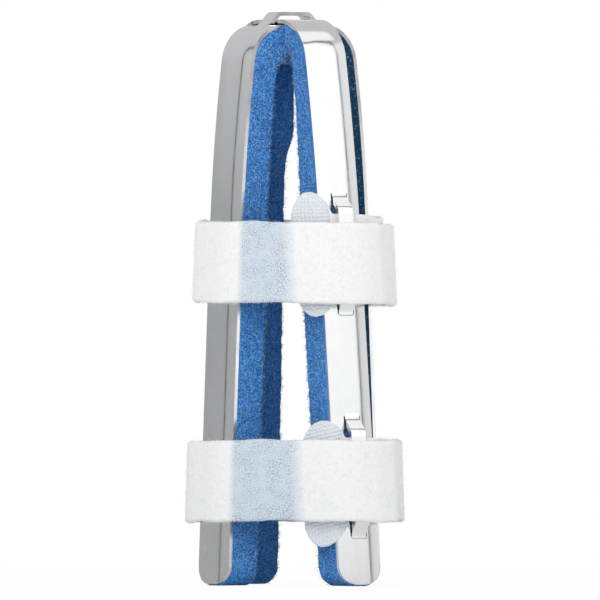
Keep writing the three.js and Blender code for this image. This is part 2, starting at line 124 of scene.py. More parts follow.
# Straps
STRAP_WIDTH = 12.7
STRAP_THICKNESS = 1.3
STRAP_STANDOFF = 0.9
STRAP_EASE = 1.5
STRAP_TAIL = 8.0
TAIL_CORNER = 3.0
STRAP_EDGE = 0.55  # rounding of the fleecy edges
SAG_SHARE = 0.62  # of its length, over which a strap sags round the back
NECK_SHARE = 0.42  # of its thickness that a strap keeps where it is squeezed under its bridge
NECK_REACH = 6.0  # how far past the paddle it is squeezed
NECK_LAP = 0.6  # the strap starts this far inside its paddle
PADDLE_HEIGHT = 19.7
PADDLE_GAP = 0.4
PADDLE_THICKNESS = 0.8 * STRAP_THICKNESS
PADDLE_EDGE = 0.35
BEND_SOFTNESS = 0.7  # how widely the bends of a strap are eased
SWAY_LENGTH = 9
SWELL_LENGTH = 5
PILE_LUMPS = [{"share": 0.5, "size": 1.3}, {"share": 0.5, "size": 0.55}]
BAND_FORM = {"thickness": STRAP_THICKNESS, "edge": STRAP_EDGE, "wave": 0.25, "pile": 0.10}
PADDLE_FORM = {"thickness": PADDLE_THICKNESS, "edge": PADDLE_EDGE, "wave": 0.15, "pile": 0.03}
NAP = {"length": 0.42, "radius": 0.020, "curl": 1.0}
NAP_COUNT = 12000
STRAPS = [
    {
        "name": "strap_upper",
        "height": 52.0,
        "descent": 2.2,
        "sag": 0.3,
        "droop": 0.2,
        "paddle": 6.57,
        "seed": 11,
    },
    {
        "name": "strap_lower",
        "height": 17.2,
        "descent": 1.0,
        "sag": 0.8,
        "droop": 2.0,
        "paddle": 7.3,
        "seed": 23,
    },
]
PADDLE_OUTLINE = {
    "along": [0.0, 0.07, 0.2, 0.36, 0.52, 0.68, 0.82, 0.92, 1.0],
    "bulge": [0.0, 0.33, 0.63, 0.9, 1.0, 0.96, 0.75, 0.44, 0.0],
}

# Fineness of the meshes
STRIP_STEP = 0.5
BRIDGE_STEP = 0.35
FLANK_STEP = 0.2
FOAM_STEP = 0.36
FOAM_BACK_STEP = 1.3
STRAP_STEP = 0.3
STRAP_FRONT_POINTS = 44
STRAP_BACK_POINTS = 22
ARC_STEPS = 14
CORNER_DEGREES = 10  # between the points round the corner of a foot
STRAND_TURNS = (0, 120, 240)
STRAND_SHARES = (-0.25, 0.5)  # of its length at which a strand has its two rings of points
STRAND_SPREAD = (0.5, 1.3)  # shortest and longest strand, as shares of their usual length
STRAND_SCATTER = 0.12
TIP_REACH = 0.8
TIP_SWAY = 0.6
NOISE_SHIFT = (7.3, 3.1, 5.7)  # how far each seed moves the noise

# Camera
VIEW_AZIMUTH = -37.0
VIEW_ELEVATION = 0.1
VIEW_DISTANCE = 3.0
FRAME_WIDTH = 94.2
FRAME_CENTRE_RIGHT = 1.7
FRAME_CENTRE_UP = 44.7
SENSOR = 36.0

low_a, high_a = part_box("strip_a")
low_b, high_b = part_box("strip_b")
AXIS = Vector(((low_b.x + high_b.x) / 2, (low_a.y + high_a.y) / 2, 0))


def mix(start, end, share):
    return start + (end - start) * share


def clamp(value, low=0.0, high=1.0):
    return min(high, max(low, value))


def smooth(share):
    share = clamp(share)
    return share * share * (3 - 2 * share)


def spread(start, end, step):
    """Even values from start to end, no further apart than step."""
    count = max(1, math.ceil(abs(end - start) / step))
    return [mix(start, end, i / count) for i in range(count + 1)]


# Arches


class HalfArch:
    """The outer face of half an arch, as a path from the middle of the dome down to the foot."""

    def __init__(self, top, flat, bend, shoulder_lean, foot_lean, shoulder=None):
        self.top = top
        self.flat = flat
        self.bend = bend
        self.shoulder_lean = shoulder_lean
        self.foot_lean = foot_lean
        self.shoulder = shoulder or SHOULDER_DROP / (math.sin(shoulder_lean) - math.sin(foot_lean))
        self.bend_end = flat + bend * (math.pi / 2 - shoulder_lean)
        self.knee_end = self.bend_end + self.shoulder * (shoulder_lean - foot_lean)
        self.bend_out, self.bend_up, _ = self.on_bend(shoulder_lean)
        self.knee_out, self.knee_up, _ = self.on_shoulder(foot_lean)

    def at(self, distance):
        """Distance out from the axis, height, and tilt of the outward normal above level."""
        if distance <= self.flat:
            return distance, self.top, math.pi / 2
        if distance <= self.bend_end:
            return self.on_bend(math.pi / 2 - (distance - self.flat) / self.bend)
        if distance <= self.knee_end:
            return self.on_shoulder(self.shoulder_lean - (distance - self.bend_end) / self.shoulder)
        rest = distance - self.knee_end
        tilt = self.foot_lean
        return self.knee_out + rest * math.sin(tilt), self.knee_up - rest * math.cos(tilt), tilt

    def on_bend(self, tilt):
        return self.flat + self.bend * math.cos(tilt), self.top - self.bend * (1 - math.sin(tilt)), tilt

    def on_shoulder(self, tilt):
        out = self.bend_out + self.shoulder * (math.cos(tilt) - math.cos(self.shoulder_lean))
        up = self.bend_up - self.shoulder * (math.sin(self.shoulder_lean) - math.sin(tilt))
        return out, up, tilt

    def at_height(self, up):
        """The same at a height on the leg, below the bend."""
        if up >= self.knee_up:
            lean = math.asin(math.sin(self.shoulder_lean) - (self.bend_up - up) / self.shoulder)
            return self.on_shoulder(lean)
        return self.knee_out + (self.knee_up - up) * math.tan(self.foot_lean), up, self.foot_lean

    def distance_to(self, up):
        """Distance along the path to a height below the bend."""
        if up >= self.knee_up:
            return self.bend_end + self.shoulder * (self.shoulder_lean - self.at_height(up)[2])
        return self.knee_end + (self.knee_up - up) / math.cos(self.foot_lean)

    def inset(self, depth):
        """The same half arch moved inwards, with a bend no tighter than the foam takes."""
        bend = max(self.bend - depth, min(self.bend, FOAM_BEND))
        flat = self.flat + self.bend - depth - bend
        shoulder = self.shoulder - depth
        return HalfArch(self.top - depth, flat, bend, self.shoulder_lean, self.foot_lean, shoulder)


def half_arch(leg):
    dome = leg["dome"]
    leans = math.radians(leg["shoulder"]), math.radians(leg["foot"])
    return HalfArch(dome["top"], dome["flat"], dome["bend"], *leans)


FACES = {name: half_arch(leg) for name, leg in LEGS.items()}


def turned(points, quarter_turns):
    """Points turned about the axis by quarter turns."""
    points = np.asarray(points, float).reshape(-1, 3)
    for _ in range(quarter_turns % 4):
        points = np.column_stack((-points[:, 1], points[:, 0], points[:, 2]))
    return points


# Meshes


def new_object(name, data):
    thing = bpy.data.objects.new(name, data)
    bpy.context.scene.collection.objects.link(thing)
    return thing


def mesh_object(name, points, faces, material, uv=None):
    """A mesh from points in millimetres about the axis. uv gives one pair for each point."""
    mesh = bpy.data.meshes.new(name)
    placed = np.asarray(points, float) * MM + np.array(AXIS)
    mesh.from_pydata(placed.tolist(), [], faces)
    mesh.validate()
    if uv is not None:
        layer = mesh.uv_layers.new(name="Along")
        corners = np.empty(len(mesh.loops), np.int32)
        mesh.loops.foreach_get("vertex_index", corners)
        layer.data.foreach_set("uv", np.asarray(uv, np.float32)[corners].ravel())
    mesh.materials.append(material)
    mesh.polygons.foreach_set("use_smooth", [True] * len(mesh.polygons))
    mesh.update()
    return new_object(name, mesh)


def grid_faces(rows, columns, around=False):
    """Quads between rows of points. around joins the last column to the first."""
    faces = []
    for i in range(rows - 1):
        for j in range(columns if around else columns - 1):
            k = (j + 1) % columns
            faces.append((i * columns + j, (i + 1) * columns + j, (i + 1) * columns + k, i * columns + k))
    return faces


def tube_faces(rows, columns):
    """A closed skin round rings of points, capped at both ends."""
    last = (rows - 1) * columns
    start_cap = tuple(range(columns))
    end_cap = tuple(last + columns - 1 - j for j in range(columns))
    return [*grid_faces(rows, columns, around=True), start_cap, end_cap]


def point_normals(points, rows, columns):
    """Outward directions at the points of a tube of rings."""
    grid = np.asarray(points).reshape(rows, columns, 3)
    along = np.gradient(grid, axis=0)
    across = np.roll(grid, -1, axis=1) - np.roll(grid, 1, axis=1)
    normals = np.cross(along, across).reshape(-1, 3)
    return normals / np.maximum(np.linalg.norm(normals, axis=1, keepdims=True), 1e-9)


def lumps(points, size, seed):
    """Smooth noise from -1 to 1 at each point, with lumps of a size in millimetres."""
    shift = Vector([seed * step for step in NOISE_SHIFT])
    return np.array([noise.noise(Vector(p) / size + shift) for p in points])


# Strips


def below_dome(tilt):
    """Share from 0 on the dome to 1 on the legs, by the tilt of the outward normal."""
    return smooth((math.pi / 2 - tilt) / math.radians(CREASE_FADE))


def crown_drop(across, tilt):
    """How far a strip's face falls away towards its edges. Over the dome it is flat."""
    past = abs(across) - (STRIP_WIDTH / 2 - FLANGE_WIDTH)
    slope = FLANGE_DROP / FLANGE_WIDTH
    rounded = CREASE_SOFTNESS * math.log1p(math.exp(past / CREASE_SOFTNESS))
    return slope * rounded * below_dome(tilt)


class Strip:
    """A strip bent into an arch, from its left leg's foot over the dome to its right leg's."""

    def __init__(self, left, right, waist, bridges, quarter_turns):
        self.left = left
        self.right = right
        self.pinch = 1 - waist / STRIP_WIDTH
        self.bridges = bridges
        self.quarter_turns = quarter_turns

    def at(self, distance):
        arch, side = (self.left, -1) if distance < 0 else (self.right, 1)
        out, up, tilt = arch.at(abs(distance))
        return side, out, up, tilt

    def width_share(self, distance):
        """Share of its full width that the strip has here: a waist at the crossing, rounded feet."""
        _, out, up, _ = self.at(distance)
        share = 1 - self.pinch * (1 - smooth((out - WAIST_START) / WAIST_FADE))
        above = up - FOOT_RISE
        if above < FOOT_CORNER:
            inwards = FOOT_CORNER - math.sqrt(max(0, FOOT_CORNER**2 - (FOOT_CORNER - above) ** 2))
            share = 1 - 2 * inwards / STRIP_WIDTH
        return share

    def lift(self, distance, across):
        """How far a bridge raises the strip here."""
        for middle, length, ramp, rise in self.bridges:
            if abs(across) < SLIT_END and abs(distance - middle) < length / 2:
                return rise * smooth((length / 2 - abs(distance - middle)) / ramp)
        return 0.0

    def point(self, distance, across):
        side, out, up, tilt = self.at(distance)
        width = self.width_share(distance)
        depth = crown_drop(across * width, tilt) - self.lift(distance, across)
        x = side * (out - depth * math.cos(tilt))
        return x, across * width, up - depth * math.sin(tilt)

    def rows(self):
        """Distances at which the strip has a row of points: even, with every bridge's ends among them."""
        feet = []
        for arch, side in ((self.left, -1), (self.right, 1)):
            angles = [math.radians(a) for a in range(0, 91, CORNER_DEGREES)]
            corner = [FOOT_RISE + FOOT_CORNER * (1 - math.cos(a)) for a in angles]
            feet.append([side * arch.distance_to(up) for up in corner])
        start, end = feet[0][-1], feet[1][-1]
        marks = sorted([start, end, *(m + s * n / 2 for m, n, _, _ in self.bridges for s in (-1, 1))])
        between = [d for a, b in zip(marks, marks[1:]) for d in spread(a, b, STRIP_STEP)[1:]]
        return [*feet[0][:-1], start, *between, *reversed(feet[1][:-1])]

    def columns(self):
        half = [*spread(0, SLIT_START, BRIDGE_STEP), *spread(SLIT_END, STRIP_WIDTH / 2, FLANK_STEP)]
        return [-c for c in reversed(half[1:])] + half

    def in_slit(self, distance, across):
        if not SLIT_START < abs(across) < SLIT_END:
            return False
        return any(abs(distance - middle) < length / 2 for middle, length, _, _ in self.bridges)

    def build(self, name, material):
        rows, columns = self.rows(), self.columns()
        points = [self.point(d, c) for d in rows for c in columns]
        uv = [(d / UV_UNIT, c / UV_UNIT) for d in rows for c in columns]
        faces = []
        for face in grid_faces(len(rows), len(columns)):
            i, j = divmod(face[0], len(columns))
            middle = ((rows[i] + rows[i + 1]) / 2, (columns[j] + columns[j + 1]) / 2)
            if not self.in_slit(*middle):
                faces.append(face)
        piece = mesh_object(name, turned(points, self.quarter_turns), faces, material, uv)
        self.thicken(piece)
        return piece

    def thicken(self, piece):
        """Gives the strip its gauge, inwards from its outer face."""
        gauge = piece.modifiers.new("gauge", "SOLIDIFY")
        gauge.thickness = STRIP_GAUGE * MM
        gauge.offset = -1
        gauge.use_even_offset = True
        gauge.use_quality_normals = True
        bpy.context.view_layer.update()
        thick = piece.evaluated_get(bpy.context.evaluated_depsgraph_get())
        solid = bpy.data.meshes.new_from_object(thick)
        places = np.empty(len(solid.vertices) * 3)
        solid.vertices.foreach_get("co", places)
        outer, inner = np.split(places.reshape(-1, 3), 2)
        across = (self.quarter_turns + 1) % 2
        inner[:, across] = outer[:, across]  # squares the cut edges off
        solid.vertices.foreach_set("co", np.concatenate([outer, inner]).ravel())
        piece.modifiers.clear()
        piece.data = solid
        solid.set_sharp_from_angle(angle=math.radians(SHARP_EDGE))


def strap_bridges():
    """The strap bridges on the front right leg, as rows of a strip's bridges."""
    arch = FACES["front_right"]
    length = STRAP_WIDTH + 2 * (CLEARANCE + STRAP_BRIDGE_RAMP)
    middles = [-arch.distance_to(row["height"]) for row in STRAPS]
    return [(middle, length, STRAP_BRIDGE_RAMP, STRAP_BRIDGE_RISE) for middle in middles]


# Foam


def pressed(outer, inner, run):
    """A point of the inner face, moved out where the foam is pressed and in where it bunches up."""
    near_dome = smooth((outer[1] - DOME_HEIGHT + PRESS_DROP) / PRESS_DROP)
    share = run["press"] * below_dome(outer[2]) * near_dome
    out, up = mix(inner[0], outer[0], share), mix(inner[1], outer[1], share)
    below = DOME_HEIGHT - up
    bunch = run["bunch"] * smooth((BUNCH_START - below) / (BUNCH_START - BUNCH_FULL))
    return max(out - bunch, min(out, BUNCH_LIMIT)), up, inner[2]


def foam_pairs(outer, inner, run):
    """Points down the two faces of the foam under half an arch, from dome to sole, with how far the
    rounded foot is narrowed."""
    pairs = []
    ends = [(0, arch.flat, arch.bend_end, arch.knee_end) for arch in (outer, inner)]
    marks = list(zip(*ends))
    for (a, b), (c, d) in zip(marks, marks[1:]):
        for share in spread(0, 1, FOAM_STEP / max(c - a, d - b, FOAM_STEP))[:-1]:
            pairs.append((outer.at(mix(a, c, share)), inner.at(mix(b, d, share)), 0.0))
    knee = min(outer.knee_up, inner.knee_up)
    for up in spread(knee, FOOT_CORNER, FOAM_STEP):
        pairs.append((outer.at_height(up), inner.at_height(up), 0.0))
    for angle in range(CORNER_DEGREES, 90, CORNER_DEGREES):
        turn = math.radians(angle)
        up = FOOT_CORNER * (1 - math.sin(turn))
        pairs.append((outer.at_height(up), inner.at_height(up), FOOT_CORNER * (1 - math.cos(turn))))
    trim = FOOT_CORNER * (1 - math.cos(math.radians(SOLE_ANGLE)))
    pairs.append((outer.at_height(SOLE_HEIGHT), inner.at_height(SOLE_HEIGHT), trim))
    return [(a, pressed(a, b, run), narrowing) for a, b, narrowing in pairs]


def foam_section():
    """The foam's section as (across, depth) round it, with the long inner edges rounded."""
    half = STRIP_WIDTH / 2
    side = [(half, d) for d in spread(0, FOAM_THICKNESS - FOAM_EDGE, FOAM_STEP)]
    corner = []
    for angle in (22.5, 45, 67.5):
        turn = math.radians(angle)
        out = half - FOAM_EDGE * (1 - math.cos(turn))
        corner.append((out, FOAM_THICKNESS - FOAM_EDGE * (1 - math.sin(turn))))
    bottom = [(c, FOAM_THICKNESS) for c in spread(half - FOAM_EDGE, 0, FOAM_STEP)]
    right = [*side, *corner, *bottom]
    left = [(-c, d) for c, d in reversed(right[:-1])]
    back = [(c, 0.0) for c in spread(-half, half, FOAM_BACK_STEP)[1:-1]]
    return [*right, *left, *back]


def foam_ring(side, pair, section):
    (out_o, up_o, tilt), (out_i, up_i, _), trim = pair
    width = 1 - 2 * trim / STRIP_WIDTH
    ring = []
    for across, depth in section:
        share = depth / FOAM_THICKNESS
        drop = crown_drop(across * width, tilt) * (1 - share)
        out = mix(out_o, out_i, share) - drop * math.cos(tilt)
        up = mix(up_o, up_i, share) - drop * math.sin(tilt)
        ring.append((side * out, across * width, up))
    return ring


def foam_run(arch, side, section, run):
    """Rings of points down the foam under a half arch."""
    outer = arch.inset(STRIP_GAUGE + FOAM_GAP)
    inner = arch.inset(STRIP_GAUGE + FOAM_GAP + FOAM_THICKNESS)
    return [foam_ring(side, pair, section) for pair in foam_pairs(outer, inner, run)]


def butted(rings, side):
    """The rings of strip B's foam, ended flat against the side of strip A's."""
    stop = STRIP_WIDTH / 2 + BUTT_GAP
    rings = [[(side * max(stop, side * x), y, z) for x, y, z in ring] for ring in rings]
    widest = [max(side * x for x, _, _ in ring) for ring in rings]
    first = next(i for i, reach in enumerate(widest) if reach > stop + BUTT_GAP)
    return rings[first - 1 :]


def foam_piece(pad):
    """A pad of foam, with the points, normals and freedom to be torn that its cells grow from."""
    section = foam_section()
    runs = []
    for leg in pad["legs"]:
        side = LEGS[leg]["side"]
        rings = foam_run(FACES[leg], side, section, FOAM_RUNS[pad["node"]])
        if len(pad["legs"]) == 1:
            rings = butted(rings, side)
        runs.append(rings[::side])
    rings = [*runs[0], *(ring for run in runs[1:] for ring in run[1:])]
    rows, columns = len(rings), len(section)
    points = np.array(rings).reshape(-1, 3)
    normals = point_normals(points, rows, columns)
    depths = np.tile([d for _, d in section], rows)
    free = np.clip(depths / FOAM_SEAT, 0, 1) * np.clip(points[:, 2] / FOAM_SEAT, 0, 1)
    coarse, fine = FOAM_LUMPS
    bumps = coarse["height"] * lumps(points, coarse["size"], pad["seed"])
    bumps = bumps + fine["height"] * lumps(points, fine["size"], pad["seed"] + 1) - FOAM_SHRINK
    points = points + normals * (bumps * free)[:, None]
    points[:, 2] = np.maximum(points[:, 2], 0)
    points = turned(points, pad["turns"])
    uv = [(i / UV_UNIT, j / UV_UNIT) for i in range(rows) for j in range(columns)]
    name = pad["node"].replace("foam", "padding")
    piece = mesh_object(name, points, tube_faces(rows, columns), foam_blue, uv)
    return piece, points, turned(normals, pad["turns"]), free


def strands(name, roots, directions, form, material, seed):
    """Short bent fibres of three sides that run to a point, one at each root, kept above the floor."""
    draw = random.Random(seed)
    points, faces = [], []
    for root, direction in zip(roots, directions):
        direction = Vector(direction).normalized()
        lean = Vector((draw.gauss(0, 1), draw.gauss(0, 1), draw.gauss(0, 1))) * form["curl"]
        first = (direction + lean).normalized()
        side = first.orthogonal().normalized()
        other = first.cross(side)
        sway = side * draw.uniform(-1, 1) + other * draw.uniform(-1, 1)
        reach = form["length"] * draw.uniform(*STRAND_SPREAD)
        base = len(points)
        for share in STRAND_SHARES:
            middle = Vector(root) + first * (reach * share)
            for turn in STRAND_TURNS:
                angle = math.radians(turn)
                outwards = side * math.cos(angle) + other * math.sin(angle)
                points.append(middle + outwards * form["radius"])
        points.append(Vector(root) + (first * TIP_REACH + sway * TIP_SWAY) * reach)
        for k in range(3):
            a, b = base + k, base + (k + 1) % 3
            faces.append((a, b, b + 3, a + 3))
            faces.append((a + 3, b + 3, base + 6))
        faces.append((base + 2, base + 1, base))
    points = np.array(points)
    points[:, 2] = np.maximum(points[:, 2], 0)
    return mesh_object(name, points, faces, material)


def scattered(points, normals, weights, count, seed):
    """Roots and directions for fibres, drawn from the points by weight and shifted a little."""
    draw = np.random.default_rng(seed)
    weights = np.clip(weights, 0, None)
    chosen = draw.choice(len(points), size=count, p=weights / weights.sum())
    shifted = points[chosen] + draw.normal(0, STRAND_SCATTER, (count, 3))
    return shifted, normals[chosen]


# Straps


def tangent(start, end):
    """The straight run between two posts (x, y, radius), tangent to both: its two ends and its normal."""
    along = np.array([end[0] - start[0], end[1] - start[1]])
    length = math.hypot(*along)
    turn = math.asin((start[2] - end[2]) / length)
    normal = np.array([along[1], -along[0]]) / length
    c, s = math.cos(turn), math.sin(turn)
    normal = np.array([c * normal[0] - s * normal[1], s * normal[0] + c * normal[1]])
    return np.array(start[:2]) + normal * start[2], np.array(end[:2]) + normal * end[2], normal


def taut_run(posts):
    """Points of a taut run round posts, each post's bend in the same number of steps."""
    spans = [tangent(a, b) for a, b in zip(posts, posts[1:])]
    run = [spans[0][0]]
    for i, (_, end, normal) in enumerate(spans):
        run.append(end)
        if i + 1 == len(spans):
            break
        post = posts[i + 1]
        start_angle = math.atan2(normal[1], normal[0])
        next_normal = spans[i + 1][2]
        turn = (math.atan2(next_normal[1], next_normal[0]) - start_angle) % (2 * math.pi)
        for step in range(1, ARC_STEPS + 1):
            angle = start_angle + turn * step / ARC_STEPS
            run.append(np.array(post[:2]) + post[2] * np.array([math.cos(angle), math.sin(angle)]))
    return run


def strap_posts(up, layer):
    """What a strap bears on at a height: the corners of the legs, as posts with the strap's inner face."""
    half = STRIP_WIDTH / 2
    lap = layer * (STRAP_THICKNESS + CLEARANCE)
    radius = STRAP_EASE * math.sqrt(2) + STRAP_STANDOFF + lap

    def corners(leg, quarter_turns):
        out = FACES[leg].at_height(up)[0] - STRAP_EASE
        places = turned([(s * (half - STRAP_EASE), -out, 0) for s in (-1, 1)], quarter_turns)
        return [(x, y, radius) for x, y, _ in places]

    front = FACES["front_right"].at_height(up)[0]
    stand = STRAP_THICKNESS + 2 * CLEARANCE + STRIP_GAUGE
    return {
        "rails": [(s * half, -front, CLEARANCE + lap) for s in (-1, 1)],
        "bridge": [(s * BRIDGE_WIDTH / 2, -front - stand, CLEARANCE) for s in (-1, 1)],
        "back_right": corners("back_right", 1),
        "back_left": corners("back_left", 2),
        "front_left": corners("front_left", 3),
    }


def strap_run(up, paddle):
    """The inner face of a strap at a height, from the paddle's tip to the free end."""
    inner, outer = strap_posts(up, 0), strap_posts(up, 1)
    start, end, _ = tangent(inner["front_left"][1], inner["rails"][0])
    past_rail = paddle + BRIDGE_WIDTH / 2 + PADDLE_GAP - STRIP_WIDTH / 2
    tip = end + (start - end) / np.linalg.norm(start - end) * past_rail
    run = taut_run(
        [
            (tip[0], tip[1], 0),
            *inner["rails"],
            *inner["back_right"],
            *inner["back_left"],
            *inner["front_left"],
            (tip[0], tip[1], STRAP_THICKNESS + CLEARANCE),
            outer["rails"][0],
            *inner["bridge"],
            outer["rails"][1],
            *outer["back_right"],
            outer["back_left"][0],
        ]
    )
    past = run[-1] - run[-2]
    run[-1] = run[-2] + past / np.linalg.norm(past) * STRAP_TAIL
    return np.array(run)


def evened(run, lengths, places):
    """Points of a run at even places, by the middle run's lengths so that every height matches."""
    return np.column_stack([np.interp(places, lengths, run[:, k]) for k in (0, 1)])


def softened(path, step, width):
    """The path with its bends eased over a width, its ends kept."""
    reach = int(3 * width / step)
    weights = np.exp(-0.5 * (np.arange(-reach, reach + 1) * step / width) ** 2)
    weights /= weights.sum()
    padded = np.vstack([2 * path[0] - path[reach:0:-1], path, 2 * path[-1] - path[-2 : -reach - 2 : -1]])
    return np.column_stack([np.convolve(padded[:, k], weights, "valid") for k in (0, 1)])


def paddle_bulge(share):
    return float(np.interp(share, PADDLE_OUTLINE["along"], PADDLE_OUTLINE["bulge"]))


def strap_half(distance, whole, paddle):
    """Half the height of a strap at a distance from its paddle's tip."""
    from_end = whole - distance
    if from_end < TAIL_CORNER:
        rise = math.sqrt(max(0, TAIL_CORNER**2 - (TAIL_CORNER - from_end) ** 2))
        return STRAP_WIDTH / 2 - TAIL_CORNER + rise
    if distance > paddle:
        return STRAP_WIDTH / 2
    return mix(STRAP_WIDTH, PADDLE_HEIGHT, paddle_bulge(1 - distance / paddle)) / 2


class StrapPath:
    """A strap's inner face at any distance and height, from runs at a few heights."""

    def __init__(self, row):
        self.row = row
        reach = PADDLE_HEIGHT / 2 + row["droop"] + row["descent"]
        self.heights = [row["height"] + s * reach for s in (-1, 0, 1)]
        runs = [strap_run(up, row["paddle"]) for up in self.heights]
        gaps = np.linalg.norm(np.diff(runs[1], axis=0), axis=1)
        lengths = np.concatenate([[0], np.cumsum(gaps)])
        self.whole = float(lengths[-1])
        front_left = 8 * (1 + ARC_STEPS)  # the run's point at the end of its eighth bend
        # the window: the span in front of the gap between the legs, where the strap is given painted light
        # and shade
        self.window = (float(lengths[front_left]), float(lengths[front_left + 1]))
        self.places = np.linspace(0, self.whole, int(self.whole / STRAP_STEP) + 1)
        step = self.places[1]
        even_runs = [evened(run, lengths, self.places) for run in runs]
        self.paths = [softened(run, step, BEND_SOFTNESS) for run in even_runs]

    def index(self, distance):
        return int(round(distance / self.places[1]))

    def face(self, i, up):
        """Point and outward normal of the inner face at a place and height."""
        share = (up - self.heights[0]) / (self.heights[2] - self.heights[0])
        low, high = self.paths[0], self.paths[2]
        nearby = (max(i - 1, 0), i, min(i + 1, len(low) - 1))
        before, here, after = (mix(low[k], high[k], share) for k in nearby)
        along = after - before
        normal = np.array([along[1], -along[0]])
        return here, normal / np.linalg.norm(normal)

    def middle(self, distance):
        row = self.row
        droop = row["droop"] * clamp(1 - distance / row["paddle"])
        share = distance / self.whole
        sag = row["sag"] * math.sin(math.pi * clamp(share / SAG_SHARE))
        return row["height"] - row["descent"] * share - sag - droop


def strap_section(half, thickness, edge):
    """A strap's section as (up, depth) round it, with full rounded edges."""
    flat = half - edge
    front = [(u, thickness) for u in np.linspace(-flat, flat, STRAP_FRONT_POINTS)]
    turn = np.radians([20, 45, 70, 90, 110, 135, 160])
    top = [(flat + edge * math.sin(a), thickness / 2 + thickness / 2 * math.cos(a)) for a in turn]
    back = [(u, 0.0) for u in np.linspace(flat, -flat, STRAP_BACK_POINTS)]
    bottom = [(-u, d) for u, d in reversed(top)]
    return [*front, *top, *back, *bottom]


def strap_piece(name, path, start, end, form, material, seed):
    """A strap between two distances, with its points and normals."""
    first, last = path.index(start), path.index(end)
    rings, uv = [], []
    for i in range(first, last + 1):
        distance = float(path.places[i])
        half = strap_half(distance, path.whole, path.row["paddle"])
        sway = form["wave"] * noise.noise(Vector((distance / SWAY_LENGTH, seed, 0)))
        swell = form["wave"] * noise.noise(Vector((distance / SWELL_LENGTH, 0, seed)))
        middle = path.middle(distance) + sway
        squeezed = mix(NECK_SHARE, 1, smooth((distance - path.row["paddle"]) / NECK_REACH - 1))
        ring = []
        for up_off, depth in strap_section(half + swell, form["thickness"] * squeezed, form["edge"]):
            up = middle + up_off
            here, normal = path.face(i, up)
            out = here + normal * depth
            ring.append((out[0], out[1], up))
            uv.append((distance / UV_UNIT, up_off / UV_UNIT))
        rings.append(ring)
    rows, columns = len(rings), len(rings[0])
    points = np.array(rings).reshape(-1, 3)
    normals = -point_normals(points, rows, columns)
    coarse, fine = PILE_LUMPS
    bumps = coarse["share"] * lumps(points, coarse["size"], seed)
    bumps = bumps + fine["share"] * lumps(points, fine["size"], seed + 2)
    points = points + normals * (bumps * form["pile"])[:, None]
    piece = mesh_object(name, points, tube_faces(rows, columns), material, uv)
    return piece, points, normals


# Materials

FLEECE_TINT = (0.935, 0.935, 0.93, 1)
FLEECE_SHADE = (0.85, 0.85, 0.85, 1)
FIBRE_TINT = (0.95, 0.955, 0.96, 1)
FIBRE_SHADE = (0.88, 0.895, 0.91, 1)


class Nodes:
    """Short calls to add and join the nodes of a material or world."""

    def __init__(self, tree):
        self.tree = tree
        self.shader = tree.nodes.get("Principled BSDF")

    def add(self, kind, inputs=None, **settings):
        node = self.tree.nodes.new(kind)
        for key, value in settings.items():
            setattr(node, key, value)
        for key, value in (inputs or {}).items():
            self.set(node, key, value)
        return node

    def set(self, node, key, value):
        if isinstance(value, bpy.types.NodeSocket):
            self.tree.links.new(value, node.inputs[key])
        else:
            node.inputs[key].default_value = value

    def look(self, key, value):
        self.set(self.shader, key, value)

    def surface(self, colour, roughness, specular=0.5):
        self.look("Base Color", colour)
        self.look("Roughness", roughness)
        self.look("Specular IOR Level", specular)

    def ramp(self, factor, low, high, start=0.0, end=1.0):
        """A number that runs from start to end as factor goes from low to high."""
        inputs = {"Value": factor, "From Min": low, "From Max": high, "To Min": start, "To Max": end}
        return self.add("ShaderNodeMapRange", inputs).outputs["Result"]

    def blend(self, factor, start, end):
        """A colour that runs from start to end as factor goes from 0 to 1."""
        node = self.tree.nodes.new("ShaderNodeMix")
        node.data_type = "RGBA"
        self.set(node, 0, factor)  # sockets 0, 6 and 7 are the factor and the two colours
        self.set(node, 6, start)
        self.set(node, 7, end)
        return node.outputs[2]

    def place(self):
        return self.add("ShaderNodeTexCoord").outputs["Object"]

    def along(self):
        """The map that runs along a strip or strap, in units of UV_UNIT millimetres."""
        return self.add("ShaderNodeUVMap", uv_map="Along").outputs["UV"]

    def scaled(self, vector, scale):
        return self.add("ShaderNodeMapping", {"Vector": vector, "Scale": scale}).outputs["Vector"]

    def noise(self, vector, scale, detail):
        inputs = {"Vector": vector, "Scale": scale, "Detail": detail}
        return self.add("ShaderNodeTexNoise", inputs).outputs["Fac"]

    def cells(self, vector, scale):
        inputs = {"Vector": vector, "Scale": scale}
        return self.add("ShaderNodeTexVoronoi", inputs).outputs["Distance"]

    def dots(self, vector, randomness):
        """Distance from the nearest of a flat field of dots."""
        inputs = {"Vector": vector, "Scale": 1.0, "Randomness": randomness}
        return self.add("ShaderNodeTexVoronoi", inputs, voronoi_dimensions="2D").outputs["Distance"]

    def times(self, a, b):
        return self.add("ShaderNodeMath", {0: a, 1: b}, operation="MULTIPLY").outputs[0]

    def bump(self, height, strength, distance, normal=None):
        inputs = {"Height": height, "Strength": strength, "Distance": distance}
        if normal is not None:
            inputs["Normal"] = normal
        return self.add("ShaderNodeBump", inputs).outputs["Normal"]


def new_material(name):
    material = bpy.data.materials.new(name)
    material.use_nodes = True
    return material, Nodes(material.node_tree)


def let_light_in(nodes, weight):
    """Lets light pass a little way through a fabric."""
    nodes.look("Subsurface Weight", weight)
    nodes.look("Subsurface Radius", (0.0006, 0.0006, 0.0007))
    nodes.look("Subsurface Scale", 1.0)


